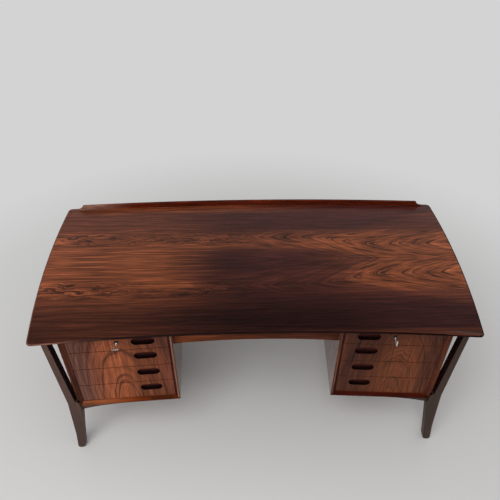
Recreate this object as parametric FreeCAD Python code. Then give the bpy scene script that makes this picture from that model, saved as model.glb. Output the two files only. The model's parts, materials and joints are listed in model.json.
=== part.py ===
import FreeCAD, Part
import math
import os

# Free-standing executive desk with a curved plan: a lipped top with a low gallery along its back edge,
# two pedestals of four drawers that stand square to the curved front, book niches behind the drawers,
# and four forked legs. Millimetres, +Z up, +X to the sitter's right, drawers open towards -Y.
# The plan is drawn with y = 0 at the middle of the front edge and moved at the end, so that the origin
# is on the floor under the middle of the top.

# Top: plan, thickness and edge
FRONT_CHORD = 1700.0
BACK_CHORD = 1880.0
TOP_DEPTH = 922.0
FRONT_SAG = 43.0
BACK_SAG = 38.0
END_SWELL = 25.0
TOP_HEIGHT = 750.0
TOP_THICK = 22.0
CORNER_RADIUS = 20.0
LIPPING_WIDTH = 22.0
LIPPING_EASE = 1.5
UNDERCUT_RISE = 16.5
UNDERCUT_RUN = 15.0

# Gallery along the back edge
GALLERY_LENGTH = 1792.0
GALLERY_HEIGHT = 24.0
GALLERY_THICK = 16.0
GALLERY_INSET = 3.5
GALLERY_COVE = 34.0
GALLERY_TAIL = 2.0
GALLERY_EASE = 2.0

# Pedestals
PEDESTAL_SPACING = 1092.0
PEDESTAL_SETBACK = 39.0
PEDESTAL_WIDTH = 434.0
PEDESTAL_DEPTH = 811.0
CASE_HEIGHT = 429.0
PANEL = 20.0
PANEL_NOSE = 4.0
PANEL_BEVEL = 10.0
PARTITION_THICK = 10.0
SHELF_THICK = 16.0
SHELF_SETBACK = 14.0
CLEAT = 12.0

# Kneehole
APRON_SETBACK = 78.0
APRON_THICK = 18.0
APRON_DEPTH = 112.0
APRON_ARCH = 10.0
MODESTY_SETBACK = 660.0
MODESTY_THICK = 16.0
MODESTY_LIFT = 20.0

# Drawers
DRAWERS = 4
DRAWER_RECESS = 12.0
DRAWER_GAP = 2.4
FRONT_THICK = 20.0
BOX_LENGTH = 455.0
BOX_LIFT = 8.0
BOX_SETDOWN = 14.0
BOX_SPACE_BEHIND = 12.0
BOX_WALL = 14.0
BOX_BOTTOM = 6.0
BOX_CLEARANCE = 3.0
GROOVE_DEPTH = 7.0
GROOVE_RISE = 32.0
RUNNER_HEIGHT = 12.0
RUNNING_CLEARANCE = 0.3

# Finger pulls
PULL_WIDTH = 92.0
PULL_HEIGHT = 38.0
PULL_DEPTH = 13.0
PULL_DROP = 12.0
PULL_FROM_INNER = 117.0
PULL_RISE = 11.0
FIRST_PULL_RISE = 2.5
PULL_LIP = 5.0
PULL_RIM = 5.0

# Locks of the top drawers
LOCK_RISE = 6.0
PLUG_RADIUS = 8.7
PLUG_PROUD = 1.5
PLUG_SEAT = 3.0
CASE_WIDTH = 44.0
CASE_DEPTH = 15.0
CASE_BELOW = 18.0
CASE_FLOOR = 4.0
BOLT_WIDTH = 14.0
BOLT_THICK = 5.0
BOLT_LENGTH = 36.0
BOLT_FACE = 7.0
BOLT_TIP = 2.0
BOLT_THROW = 10.0
BOLT_REACH = 4.0
MORTISE_SPACE = 2.0
LOCK_TURN = 180.0
LEFT_KEY_TURN = 90.0
RIGHT_KEY_TURN = 0.0

# Keys
SHANK_RADIUS = 2.5
SHANK_IN = 18.0
SHANK_OUT = 12.0
COLLAR_RADIUS = 4.0
COLLAR_LENGTH = 3.0
BOW_WIDTH = 34.0
BOW_LENGTH = 31.0
BOW_THICK = 3.0
BOW_ROUND = 4.0
BOW_INNER_ROUND = 1.0
BOW_BAR = 6.0

# Legs: the fork stands at the outer front and back corners of each pedestal
FOOT_SPLAY = 66.0
FOOT_WIDTH = 32.0
FOOT_ROUND = 13.0
ANKLE_RISE = 110.0
ANKLE_OUT = 53.0
ANKLE_ROUND = 800.0
LEG_DEPTH = 37.0
LEG_PROUD = 12.0
LEG_CHAMFER = 1.5
WAIST_RISE = 40.0
WAIST_OUT = 39.0
WAIST_ROUND = 160.0
ARM_TOP_OUT = 56.0
ARM_TOP_WIDTH = 24.0
SLOT_WIDTH = 5.5
SLOT_ROUND = 4.0
KNUCKLE_RISE = 46.0
ELBOW_IN = 9.0
LAP_IN = 7.0
LAP_FALL = 10.0

# Rails that carry the pedestals on the legs
RAIL_REACH = 190.0
RAIL_DEPTH = 22.0
RAIL_COVE = 11.0
RAIL_TIP = 3.0
RAIL_THICK = 26.0
RAIL_INSET = 2.0

UP = FreeCAD.Vector(0, 0, 1)
ACROSS = FreeCAD.Vector(1, 0, 0)
INWARD = FreeCAD.Vector(0, 1, 0)
ORIGIN = FreeCAD.Vector(0, 0, 0)
TINY = 0.01
SIDES = {"left": -1, "right": 1}
KEY_TURN = {"left": LEFT_KEY_TURN, "right": RIGHT_KEY_TURN}


def arc_radius(chord, sag):
    return chord ** 2 / (8 * sag) + sag / 2


# Places worked out from the driving dimensions
UNDERSIDE = TOP_HEIGHT - TOP_THICK
FRONT_RADIUS = arc_radius(FRONT_CHORD, FRONT_SAG)
BACK_RADIUS = arc_radius(BACK_CHORD, BACK_SAG)
ARC_CENTRE = FreeCAD.Vector(0, -FRONT_RADIUS, 0)
BACK_MIDDLE = TOP_DEPTH - FRONT_SAG + BACK_SAG
BACK_CENTRE = FreeCAD.Vector(0, BACK_MIDDLE - BACK_RADIUS, 0)
PEDESTAL_ANGLE = math.degrees(math.asin(PEDESTAL_SPACING / 2 / (FRONT_RADIUS + PEDESTAL_SETBACK)))
CASE_FRONT = PEDESTAL_SETBACK
CASE_BACK = PEDESTAL_SETBACK + PEDESTAL_DEPTH
FLOOR_CLEARANCE = UNDERSIDE - CASE_HEIGHT
HALF_WIDTH = PEDESTAL_WIDTH / 2
HALF_INSIDE = HALF_WIDTH - PANEL
CASE_FLOOR_Z = FLOOR_CLEARANCE + PANEL
DRAWER_PITCH = (UNDERSIDE - CASE_FLOOR_Z) / DRAWERS
FRONT_FACE = CASE_FRONT + DRAWER_RECESS
FRONT_BACK = FRONT_FACE + FRONT_THICK
BOX_END = FRONT_BACK + BOX_LENGTH
PARTITION_FRONT = BOX_END + BOX_SPACE_BEHIND
PARTITION_BACK = PARTITION_FRONT + PARTITION_THICK
SUBTOP_UNDER = UNDERSIDE - PANEL
PULL_X = HALF_WIDTH - PULL_FROM_INNER
LOCK_Z = (SUBTOP_UNDER + UNDERSIDE - DRAWER_PITCH) / 2 + LOCK_RISE
CASE_TOP = SUBTOP_UNDER + BOLT_REACH - BOLT_THROW - BOLT_TIP
LEG_FRONT = CASE_FRONT - LEG_PROUD
ELBOW_Z = FLOOR_CLEARANCE - RAIL_DEPTH - RAIL_COVE


def point(x, y, z=0.0):
    return FreeCAD.Vector(x, y, z)


def block(x0, x1, y0, y1, z0, z1):
    return Part.makeBox(x1 - x0, y1 - y0, z1 - z0, point(x0, y0, z0))


def rod(radius, start, end):
    return Part.makeCylinder(radius, (end - start).Length, start, end - start)


def line(start, end):
    return Part.LineSegment(start, end).toShape()


def arc(start, middle, end):
    return Part.Arc(start, middle, end).toShape()


def outline(corners):
    """Closed wire through (place, radius) corners, each rounded by a tangent arc of that radius."""
    places = [place for place, radius in corners]
    rounds = []
    for i, (place, radius) in enumerate(corners):
        back = (places[i - 1] - place).normalize()
        ahead = (places[(i + 1) % len(places)] - place).normalize()
        half = back.getAngle(ahead) / 2
        run = radius / math.tan(half)
        bisector = (back + ahead).normalize()
        middle = place + bisector * (radius / math.sin(half) - radius)
        rounds.append((place + back * run, middle, place + ahead * run, radius))
    edges = []
    for i, (start, middle, end, radius) in enumerate(rounds):
        if radius:
            edges.append(arc(start, middle, end))
        edges.append(line(end, rounds[(i + 1) % len(rounds)][0]))
    return Part.Wire(edges)


def sharp(places):
    return outline([(place, 0) for place in places])


def prism(wire, direction):
    return Part.Face(wire).extrude(direction)


def stadium(x, y, z, width, height):
    """Upright slot outline with round ends, centred on (x, z) in the plane y."""
    half = (width - height) / 2
    radius = height / 2
    upper_left = point(x - half, y, z + radius)
    upper_right = point(x + half, y, z + radius)
    lower_right = point(x + half, y, z - radius)
    lower_left = point(x - half, y, z - radius)
    edges = [
        line(upper_left, upper_right),
        arc(upper_right, point(x + half + radius, y, z), lower_right),
        line(lower_right, lower_left),
        arc(lower_left, point(x - half - radius, y, z), upper_left),
    ]
    return Part.Wire(edges)


def curved_band(centre, outer, thickness, half_chord, z0, z1):
    """Upright board that follows an arc about centre, with its convex face at radius outer."""
    wire_edges = []
    inner = outer - thickness
    ends = {}
    for radius in (outer, inner):
        rise = math.sqrt(radius ** 2 - half_chord ** 2)
        ends[radius] = [centre + point(side * half_chord, rise, z0) for side in (-1, 1)]
        wire_edges.append(arc(ends[radius][0], centre + point(0, radius, z0), ends[radius][1]))
    for side in (0, 1):
        wire_edges.append(line(ends[outer][side], ends[inner][side]))
    return prism(Part.Wire(Part.__sortEdges__(wire_edges)), UP * (z1 - z0))


def swing(shape, side):
    """Carry a piece drawn on the centre line, with +X towards the kneehole, out to one pedestal."""
    piece = shape.copy() if side < 0 else shape.mirror(ORIGIN, ACROSS)
    piece.rotate(ARC_CENTRE, UP, -side * PEDESTAL_ANGLE)
    return piece


def edges_at(shape, z):
    """Edges that lie level at height z."""
    level = []
    for edge in shape.Edges:
        if abs(edge.BoundBox.ZMin - z) < TINY and abs(edge.BoundBox.ZMax - z) < TINY:
            level.append(edge)
    return level


# Top
def plan_corners():
    front_y = -FRONT_SAG
    back_y = TOP_DEPTH - FRONT_SAG
    front = [point(side * FRONT_CHORD / 2, front_y, UNDERSIDE) for side in (-1, 1)]
    back = [point(side * BACK_CHORD / 2, back_y, UNDERSIDE) for side in (-1, 1)]
    return front, back


def plan_arcs():
    """The four edges of the plan as (start, middle, end), anticlockwise from the front."""
    front, back = plan_corners()
    swell = point((front[1].x + back[1].x) / 2 + END_SWELL, (front[1].y + back[1].y) / 2, UNDERSIDE)
    mirrored = point(-swell.x, swell.y, UNDERSIDE)
    return [
        (front[0], point(0, 0, UNDERSIDE), front[1]),
        (front[1], swell, back[1]),
        (back[1], point(0, BACK_MIDDLE, UNDERSIDE), back[0]),
        (back[0], mirrored, front[0]),
    ]


def crossing(first, second, near):
    """Where two circles, given as (centre, radius), cross nearest to a point."""
    span = second[0] - first[0]
    along = (first[1] ** 2 - second[1] ** 2 + span.Length ** 2) / (2 * span.Length)
    aside = math.sqrt(first[1] ** 2 - along ** 2)
    span.normalize()
    foot = first[0] + span * along
    square = UP.cross(span) * aside
    return min((foot + square, foot - square), key=lambda place: place.distanceToPoint(near))


def plan_wire(inset):
    """Outline of the top, drawn parallel to its edge at a distance inside it."""
    middle = point(0, BACK_MIDDLE / 2, UNDERSIDE)
    circles = []
    for start, through, end in plan_arcs():
        curve = arc(start, through, end).Curve
        bulges_out = (through - curve.Center).dot(through - middle) > 0
        circles.append((curve.Center, curve.Radius - inset if bulges_out else curve.Radius + inset))
    edges = []
    for i, (start, through, end) in enumerate(plan_arcs()):
        centre, radius = circles[i]
        first = crossing(circles[i - 1], circles[i], start)
        last = crossing(circles[i], circles[(i + 1) % len(circles)], end)
        crest = centre + (through - centre).normalize() * radius
        edges.append(arc(first, crest, last))
    return Part.Wire(edges)


def top_blank():
    """The whole top as one slab with rounded corners."""
    slab = prism(plan_wire(0), UP * TOP_THICK)
    uprights = [edge for edge in slab.Edges if edge.BoundBox.ZLength > TOP_THICK - TINY]
    return slab.makeFillet(CORNER_RADIUS, uprights)


def top_panel():
    return prism(plan_wire(LIPPING_WIDTH), UP * TOP_THICK)


def top_lipping(slab, panel):
    """Four solid strips round the panel, mitred at the corners and undercut to a thin edge."""
    edged = slab.makeChamfer(UNDERCUT_RISE, UNDERCUT_RUN, edges_at(slab, UNDERSIDE))
    edged = edged.makeChamfer(LIPPING_EASE, edges_at(edged, TOP_HEIGHT))
    frame = edged.cut(panel)
    front, back = plan_corners()
    ring = [front[0], front[1], back[1], back[0]]
    middle = sum(ring, ORIGIN) * (1 / len(ring))
    reach = 2 * (FRONT_SAG + BACK_SAG + END_SWELL + LIPPING_WIDTH)
    strips = []
    for i, start in enumerate(ring):
        end = ring[(i + 1) % len(ring)]
        slant = []
        for corner in (start, end):
            diagonal = point(math.copysign(1, corner.x - middle.x), math.copysign(1, corner.y - middle.y))
            slant.append((corner + diagonal * reach, corner - diagonal * reach))
        zone = sharp([slant[0][0], slant[1][0], slant[1][1], slant[0][1]])
        strips.append(frame.common(prism(zone, UP * TOP_THICK)).Solids[0])
    return Part.Compound(strips)


def back_gallery():
    """Low rail on the back edge whose ends sweep down in a cove to a thin tail."""
    half = GALLERY_LENGTH / 2
    upper = TOP_HEIGHT + GALLERY_HEIGHT
    rail = curved_band(BACK_CENTRE, BACK_RADIUS - GALLERY_INSET, GALLERY_THICK, half, TOP_HEIGHT, upper)
    arrises = [edge for edge in edges_at(rail, upper) if edge.Length > GALLERY_THICK * 2]
    rail = rail.makeChamfer(GALLERY_EASE, arrises)
    for side in (-1, 1):
        axis = point(side * half, 0, TOP_HEIGHT + GALLERY_TAIL + GALLERY_COVE)
        rail = rail.cut(rod(GALLERY_COVE, axis, axis + INWARD * (2 * TOP_DEPTH)))
    return rail


# Kneehole boards
def pedestal_envelope(side):
    reach = PEDESTAL_SPACING
    body = block(HALF_WIDTH - reach, HALF_WIDTH, CASE_FRONT, CASE_BACK, 0, TOP_HEIGHT)
    return swing(body, side)


def between_pedestals(board):
    for side in SIDES.values():
        board = board.cut(pedestal_envelope(side))
    return board


def front_apron():
    """Curved board under the front edge, arched along its lower edge."""
    half = PEDESTAL_SPACING / 2
    lower = UNDERSIDE - APRON_DEPTH
    radius = FRONT_RADIUS + APRON_SETBACK + APRON_THICK
    board = curved_band(ARC_CENTRE, radius, APRON_THICK, half, lower, UNDERSIDE)
    span = half - HALF_WIDTH
    arch_edges = [
        arc(point(-span, 0, lower), point(0, 0, lower + APRON_ARCH), point(span, 0, lower)),
        line(point(span, 0, lower), point(-span, 0, lower)),
    ]
    arch = prism(Part.Wire(arch_edges), INWARD * TOP_DEPTH)
    return between_pedestals(board.cut(arch))


def modesty_panel():
    radius = FRONT_RADIUS + MODESTY_SETBACK + MODESTY_THICK
    lower = FLOOR_CLEARANCE + MODESTY_LIFT
    half = PEDESTAL_SPACING / 2
    return between_pedestals(curved_band(ARC_CENTRE, radius, MODESTY_THICK, half, lower, UNDERSIDE))


# Pedestal case
def bottom_wedge():
    """Space of the case's bottom, mitred against both sides."""
    corners = [(-HALF_WIDTH, FLOOR_CLEARANCE), (HALF_WIDTH, FLOOR_CLEARANCE)]
    corners += [(HALF_INSIDE, CASE_FLOOR_Z), (-HALF_INSIDE, CASE_FLOOR_Z)]
    return prism(sharp([point(x, CASE_FRONT, z) for x, z in corners]), INWARD * PEDESTAL_DEPTH)


def case_side(face_x, inside_x):
    """Upright side whose front and back edges are bevelled towards the inside of the case."""
    nose_x = face_x + math.copysign(PANEL_NOSE, inside_x - face_x)
    plan = [
        point(face_x, CASE_FRONT, FLOOR_CLEARANCE),
        point(nose_x, CASE_FRONT, FLOOR_CLEARANCE),
        point(inside_x, CASE_FRONT + PANEL_BEVEL, FLOOR_CLEARANCE),
        point(inside_x, CASE_BACK - PANEL_BEVEL, FLOOR_CLEARANCE),
        point(nose_x, CASE_BACK, FLOOR_CLEARANCE),
        point(face_x, CASE_BACK, FLOOR_CLEARANCE),
    ]
    return prism(sharp(plan), UP * (UNDERSIDE - FLOOR_CLEARANCE)).cut(bottom_wedge())


def case_board(half, outer_z, inner_z):
    """Level board with the same bevel on its front and back edges."""
    nose_z = outer_z + math.copysign(PANEL_NOSE, inner_z - outer_z)
    section = [
        point(-half, CASE_FRONT, outer_z),
        point(-half, CASE_BACK, outer_z),
        point(-half, CASE_BACK, nose_z),
        point(-half, CASE_BACK - PANEL_BEVEL, inner_z),
        point(-half, CASE_FRONT + PANEL_BEVEL, inner_z),
        point(-half, CASE_FRONT, nose_z),
    ]
    return prism(sharp(section), ACROSS * (2 * half))


def case_bottom():
    return case_board(HALF_WIDTH, FLOOR_CLEARANCE, CASE_FLOOR_Z).common(bottom_wedge())


def case_subtop():
    """Top board between the sides of the case, with the mortise that the lock bolt rises into."""
    half = BOLT_WIDTH / 2 + MORTISE_SPACE
    front = FRONT_BACK + BOLT_FACE - MORTISE_SPACE
    back = FRONT_BACK + BOLT_FACE + BOLT_THICK + MORTISE_SPACE
    roof = SUBTOP_UNDER + BOLT_REACH + MORTISE_SPACE
    board = case_board(HALF_INSIDE, UNDERSIDE, SUBTOP_UNDER)
    return board.cut(block(-half, half, front, back, SUBTOP_UNDER, roof))


def case_partition():
    return block(-HALF_INSIDE, HALF_INSIDE, PARTITION_FRONT, PARTITION_BACK, CASE_FLOOR_Z, SUBTOP_UNDER)


def shelf_level():
    return (CASE_FLOOR_Z + SUBTOP_UNDER - SHELF_THICK) / 2


def niche_shelf():
    lower = shelf_level()
    back = CASE_BACK - SHELF_SETBACK
    return block(-HALF_INSIDE, HALF_INSIDE, PARTITION_BACK, back, lower, lower + SHELF_THICK)


def shelf_cleats():
    """Pair of battens under the niche shelf."""
    lower = shelf_level() - CLEAT
    back = CASE_BACK - SHELF_SETBACK - CLEAT
    left = block(-HALF_INSIDE, CLEAT - HALF_INSIDE, PARTITION_BACK, back, lower, lower + CLEAT)
    right = block(HALF_INSIDE - CLEAT, HALF_INSIDE, PARTITION_BACK, back, lower, lower + CLEAT)
    return [left, right]


# Drawers, numbered from the top
def front_bottom(number):
    return UNDERSIDE - number * DRAWER_PITCH + DRAWER_GAP / 2


def front_height(number):
    """The first front is lower than the others by the thickness of the case's top board."""
    return DRAWER_PITCH - DRAWER_GAP - (PANEL if number == 1 else 0)


def box_height(number):
    return front_height(number) - BOX_LIFT - BOX_SETDOWN


def groove_bottom(number):
    return front_bottom(number) + BOX_LIFT + GROOVE_RISE


def drawer_runners():
    """Battens on both case sides, on which the grooved drawer sides run."""
    reach = BOX_CLEARANCE + GROOVE_DEPTH - RUNNING_CLEARANCE
    battens = []
    for number in range(1, DRAWERS + 1):
        lower = groove_bottom(number) + RUNNING_CLEARANCE
        upper = lower + RUNNER_HEIGHT
        for left, right in ((-HALF_INSIDE, reach - HALF_INSIDE), (HALF_INSIDE - reach, HALF_INSIDE)):
            battens.append(block(left, right, FRONT_BACK + RUNNING_CLEARANCE, BOX_END, lower, upper))
    return Part.Compound(battens)


def pull_centre(number):
    rise = FIRST_PULL_RISE if number == 1 else PULL_RISE
    return front_bottom(number) + front_height(number) / 2 + rise


def pull_scoop(number):
    """Finger hollow: a slot that slopes in and down, so that its lower edge can be gripped from behind."""
    mouth = stadium(PULL_X, FRONT_FACE, pull_centre(number), PULL_WIDTH, PULL_HEIGHT)
    return prism(mouth, point(0, PULL_DEPTH, -PULL_DROP))


def pull_seat(number):
    """Space of the pull block, let into the back of the drawer front behind its thin lip."""
    half = PULL_WIDTH / 2 + PULL_RIM
    slope = PULL_DROP / PULL_DEPTH
    upper = pull_centre(number) + PULL_HEIGHT / 2 - PULL_LIP * slope + PULL_RIM
    lower = pull_centre(number) - PULL_HEIGHT / 2 - PULL_DROP - PULL_RIM
    return block(PULL_X - half, PULL_X + half, FRONT_FACE + PULL_LIP, FRONT_BACK, lower, upper)


def lock_bore(radius):
    return rod(radius, point(0, FRONT_FACE, LOCK_Z), point(0, FRONT_BACK, LOCK_Z))


def drawer_front(number):
    half = HALF_INSIDE - DRAWER_GAP / 2
    lower = front_bottom(number)
    board = block(-half, half, FRONT_FACE, FRONT_BACK, lower, lower + front_height(number))
    board = board.cut(pull_seat(number)).cut(pull_scoop(number))
    if number == 1:
        board = board.cut(lock_bore(PLUG_RADIUS + RUNNING_CLEARANCE))
    return board


def drawer_pull(number):
    return pull_seat(number).cut(pull_scoop(number))


def drawer_side(number):
    """Left side of a drawer box, with the runner's groove along its outer face."""
    outer = BOX_CLEARANCE - HALF_INSIDE
    inner = outer + BOX_WALL
    bed = outer + GROOVE_DEPTH
    lower = front_bottom(number) + BOX_LIFT
    upper = lower + box_height(number)
    groove = groove_bottom(number)
    roof = groove + RUNNER_HEIGHT + 2 * RUNNING_CLEARANCE
    section = [(outer, lower), (inner, lower), (inner, upper), (outer, upper)]
    section += [(outer, roof), (bed, roof), (bed, groove), (outer, groove)]
    return prism(sharp([point(x, FRONT_BACK, z) for x, z in section]), INWARD * BOX_LENGTH)


def drawer_box(number):
    """Two grooved sides, a bottom and a back."""
    left = drawer_side(number)
    right = left.mirror(ORIGIN, ACROSS)
    half = HALF_INSIDE - BOX_CLEARANCE - BOX_WALL
    lower = front_bottom(number) + 2 * BOX_LIFT
    upper = front_bottom(number) + BOX_LIFT + box_height(number) - BOX_BOTTOM
    bottom = block(-half, half, FRONT_BACK, BOX_END, lower, lower + BOX_BOTTOM)
    back = block(-half, half, BOX_END - BOX_WALL, BOX_END, lower + BOX_BOTTOM, upper)
    return Part.Compound([left, right, bottom, back])


# Locks
def lock_case():
    """Lock body on the inside of a top drawer's front, with the bolt's channel and the plug's seat."""
    half = CASE_WIDTH / 2
    lower = LOCK_Z - CASE_BELOW
    body = block(-half, half, FRONT_BACK, FRONT_BACK + CASE_DEPTH, lower, CASE_TOP)
    slot = BOLT_WIDTH / 2 + RUNNING_CLEARANCE
    near = FRONT_BACK + BOLT_FACE - RUNNING_CLEARANCE
    far = FRONT_BACK + BOLT_FACE + BOLT_THICK + RUNNING_CLEARANCE
    body = body.cut(block(-slot, slot, near, far, lower + CASE_FLOOR, CASE_TOP))
    seat_end = point(0, FRONT_BACK + PLUG_SEAT + RUNNING_CLEARANCE, LOCK_Z)
    return body.cut(rod(PLUG_RADIUS + RUNNING_CLEARANCE, point(0, FRONT_BACK, LOCK_Z), seat_end))


def lock_bolt(turn):
    """Bolt at the height that a key turn gives it."""
    half = BOLT_WIDTH / 2
    near = FRONT_BACK + BOLT_FACE
    upper = CASE_TOP + BOLT_TIP + BOLT_THROW * turn / LOCK_TURN
    return block(-half, half, near, near + BOLT_THICK, upper - BOLT_LENGTH, upper)


def plug_face():
    return FRONT_FACE - PLUG_PROUD


def turned(shape, turn):
    """Turn a piece of the lock about the plug's axis; an unturned key stands upright."""
    shape.rotate(point(0, FRONT_FACE, LOCK_Z), INWARD, 90 - turn)
    return shape


def lock_plug(turn):
    face = plug_face()
    plug = rod(PLUG_RADIUS, point(0, face, LOCK_Z), point(0, FRONT_BACK + PLUG_SEAT, LOCK_Z))
    plug = plug.cut(rod(SHANK_RADIUS, point(0, face, LOCK_Z), point(0, face + SHANK_IN, LOCK_Z)))
    return turned(plug, turn)


def key_bow(start_y, inset):
    """Triangle that widens away from the shank, lying level."""
    lower = LOCK_Z - BOW_THICK / 2
    half = BOW_WIDTH / 2
    slope = math.atan2(half, BOW_LENGTH)
    apex = start_y - inset / math.sin(slope)
    base = start_y - BOW_LENGTH + inset
    spread = (apex - base) * math.tan(slope)
    radius = BOW_INNER_ROUND if inset else BOW_ROUND
    corners = [point(0, apex, lower), point(-spread, base, lower), point(spread, base, lower)]
    return prism(outline([(corner, radius) for corner in corners]), UP * BOW_THICK)


def lock_key(turn):
    """Round shank and collar with an open triangular bow."""
    face = plug_face()
    shank = rod(SHANK_RADIUS, point(0, face - SHANK_OUT, LOCK_Z), point(0, face + SHANK_IN, LOCK_Z))
    collar = rod(COLLAR_RADIUS, point(0, face - COLLAR_LENGTH, LOCK_Z), point(0, face, LOCK_Z))
    start = face - SHANK_OUT + BOW_BAR
    bow = key_bow(start, 0).cut(key_bow(start, BOW_BAR / 2))
    return turned(shank.fuse(collar).fuse(bow).removeSplitter(), turn)


# Legs
def leg():
    """Front leg: a splayed foot that forks into an arm under the top and a knuckle lapped over the case."""
    side = -HALF_WIDTH
    knuckle = FLOOR_CLEARANCE + KNUCKLE_RISE
    profile = [
        (-FOOT_SPLAY, 0, FOOT_ROUND),
        (FOOT_WIDTH - FOOT_SPLAY, 0, FOOT_ROUND),
        (ELBOW_IN, ELBOW_Z, 0),
        (ELBOW_IN, FLOOR_CLEARANCE, 0),
        (0, FLOOR_CLEARANCE, 0),
        (0, knuckle, 0),
        (-SLOT_WIDTH, knuckle, SLOT_ROUND),
        (ARM_TOP_WIDTH - ARM_TOP_OUT, UNDERSIDE, 0),
        (-ARM_TOP_OUT, UNDERSIDE, 0),
        (-WAIST_OUT, FLOOR_CLEARANCE + WAIST_RISE, WAIST_ROUND),
        (-ANKLE_OUT, ANKLE_RISE, ANKLE_ROUND),
    ]
    face = outline([(point(side + x, LEG_FRONT, z), radius) for x, z, radius in profile])
    body = prism(face, INWARD * LEG_DEPTH)
    body = body.makeChamfer(LEG_CHAMFER, open_arrises(body))
    lap = [
        (0, FLOOR_CLEARANCE),
        (ELBOW_IN, FLOOR_CLEARANCE),
        (LAP_IN, knuckle - LAP_FALL),
        (0, knuckle - LEG_CHAMFER),
    ]
    cheek = prism(sharp([point(side + x, LEG_FRONT, z) for x, z in lap]), INWARD * LEG_PROUD)
    return body.fuse(cheek).removeSplitter()


def open_arrises(body):
    """Long edges of a leg, apart from those at the pedestal, at its rail and under the top."""
    arrises = []
    for edge in body.Edges:
        box = edge.BoundBox
        runs_across = box.YLength > TINY
        at_top = box.ZMin > UNDERSIDE - TINY
        at_case = box.XMin > -HALF_WIDTH - TINY and box.ZMin > ELBOW_Z - TINY
        if not (runs_across or at_top or at_case):
            arrises.append(edge)
    return arrises


def leg_rail():
    """Bracket from the leg along the underside of the pedestal, coved at the leg and thin at its tip."""
    near = ELBOW_IN - HALF_WIDTH
    far = RAIL_REACH - HALF_WIDTH
    y = CASE_FRONT + RAIL_INSET
    lower = FLOOR_CLEARANCE - RAIL_DEPTH
    tip = FLOOR_CLEARANCE - RAIL_TIP
    cove_end = near + RAIL_COVE
    bend = RAIL_COVE * (1 - math.sqrt(0.5))
    middle_x = (cove_end + far) / 2
    middle_z = tip - (tip - lower) / 4
    edges = [
        line(point(near, y, FLOOR_CLEARANCE), point(near, y, ELBOW_Z)),
        arc(point(near, y, ELBOW_Z), point(near + bend, y, lower - bend), point(cove_end, y, lower)),
        arc(point(cove_end, y, lower), point(middle_x, y, middle_z), point(far, y, tip)),
        line(point(far, y, tip), point(far, y, FLOOR_CLEARANCE)),
        line(point(far, y, FLOOR_CLEARANCE), point(near, y, FLOOR_CLEARANCE)),
    ]
    return prism(Part.Wire(edges), INWARD * RAIL_THICK)


def to_back(shape):
    """The same piece at the back of the pedestal."""
    return shape.mirror(point(0, (CASE_FRONT + CASE_BACK) / 2), INWARD)


def build():
    slab = top_blank()
    panel = top_panel()
    nodes = {
        "top_panel": panel,
        "top_edge_lipping": top_lipping(slab, panel),
        "back_gallery": back_gallery(),
        "front_apron": front_apron(),
        "modesty_panel": modesty_panel(),
    }
    cleats = []
    front_leg = leg()
    rail = leg_rail()
    for name, side in SIDES.items():
        turn = KEY_TURN[name]
        pieces = {
            "outer_side": case_side(-HALF_WIDTH, -HALF_INSIDE),
            "inner_side": case_side(HALF_WIDTH, HALF_INSIDE),
            "bottom": case_bottom(),
            "subtop": case_subtop(),
            "partition": case_partition(),
            "niche_shelf": niche_shelf(),
            "drawer_runners": drawer_runners(),
            "leg_rails": Part.Compound([rail, to_back(rail)]),
            "front_leg": front_leg,
            "rear_leg": to_back(front_leg),
            "lock_case": lock_case(),
            "lock_plug": lock_plug(turn),
            "lock_key": lock_key(turn),
            "lock_bolt": lock_bolt(turn),
        }
        for number in range(1, DRAWERS + 1):
            pieces[f"drawer_{number}_front"] = drawer_front(number)
            pieces[f"drawer_{number}_pull"] = drawer_pull(number)
            pieces[f"drawer_{number}_box"] = drawer_box(number)
        for piece_name, shape in pieces.items():
            nodes[f"{name}_{piece_name}"] = swing(shape, side)
        cleats += [swing(cleat, side) for cleat in shelf_cleats()]
    nodes["shelf_cleats"] = Part.Compound(cleats)
    return nodes, slab.optimalBoundingBox(False)


def main():
    os.makedirs("parts", exist_ok=True)
    nodes, plan = build()
    centring = point(0, -(plan.YMin + plan.YMax) / 2)
    for name, shape in nodes.items():
        shape.translate(centring)
        shape.exportStep(f"parts/{name}.step")


main()
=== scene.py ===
import json
import math
from collections import namedtuple
import bmesh
import bpy
from mathutils import Matrix, Vector

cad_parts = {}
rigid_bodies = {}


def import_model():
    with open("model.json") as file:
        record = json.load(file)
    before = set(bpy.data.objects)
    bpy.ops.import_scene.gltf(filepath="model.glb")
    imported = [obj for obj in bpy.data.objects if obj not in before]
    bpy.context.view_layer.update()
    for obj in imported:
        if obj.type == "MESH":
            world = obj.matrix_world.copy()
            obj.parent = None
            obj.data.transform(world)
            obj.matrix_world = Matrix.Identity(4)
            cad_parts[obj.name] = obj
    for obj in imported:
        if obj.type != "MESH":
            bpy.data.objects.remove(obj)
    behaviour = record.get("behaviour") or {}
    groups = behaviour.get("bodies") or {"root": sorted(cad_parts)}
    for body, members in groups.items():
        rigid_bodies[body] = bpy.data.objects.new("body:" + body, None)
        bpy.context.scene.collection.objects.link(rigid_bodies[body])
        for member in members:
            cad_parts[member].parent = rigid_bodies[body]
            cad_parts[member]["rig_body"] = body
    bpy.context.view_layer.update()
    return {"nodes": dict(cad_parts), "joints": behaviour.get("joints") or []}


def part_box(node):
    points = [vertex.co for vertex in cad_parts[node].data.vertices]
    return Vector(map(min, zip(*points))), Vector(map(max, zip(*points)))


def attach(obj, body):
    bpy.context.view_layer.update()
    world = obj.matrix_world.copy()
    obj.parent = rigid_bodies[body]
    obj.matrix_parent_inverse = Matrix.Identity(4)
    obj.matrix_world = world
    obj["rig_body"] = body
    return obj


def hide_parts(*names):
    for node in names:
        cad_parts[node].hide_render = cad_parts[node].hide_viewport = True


# Looks of a rosewood executive desk: softened copies of the CAD pieces, procedural rosewood whose figure is
# cut from a virtual log, soft studio light and the photograph's viewpoint. Metres, in the frame of the CAD.

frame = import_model()

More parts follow.
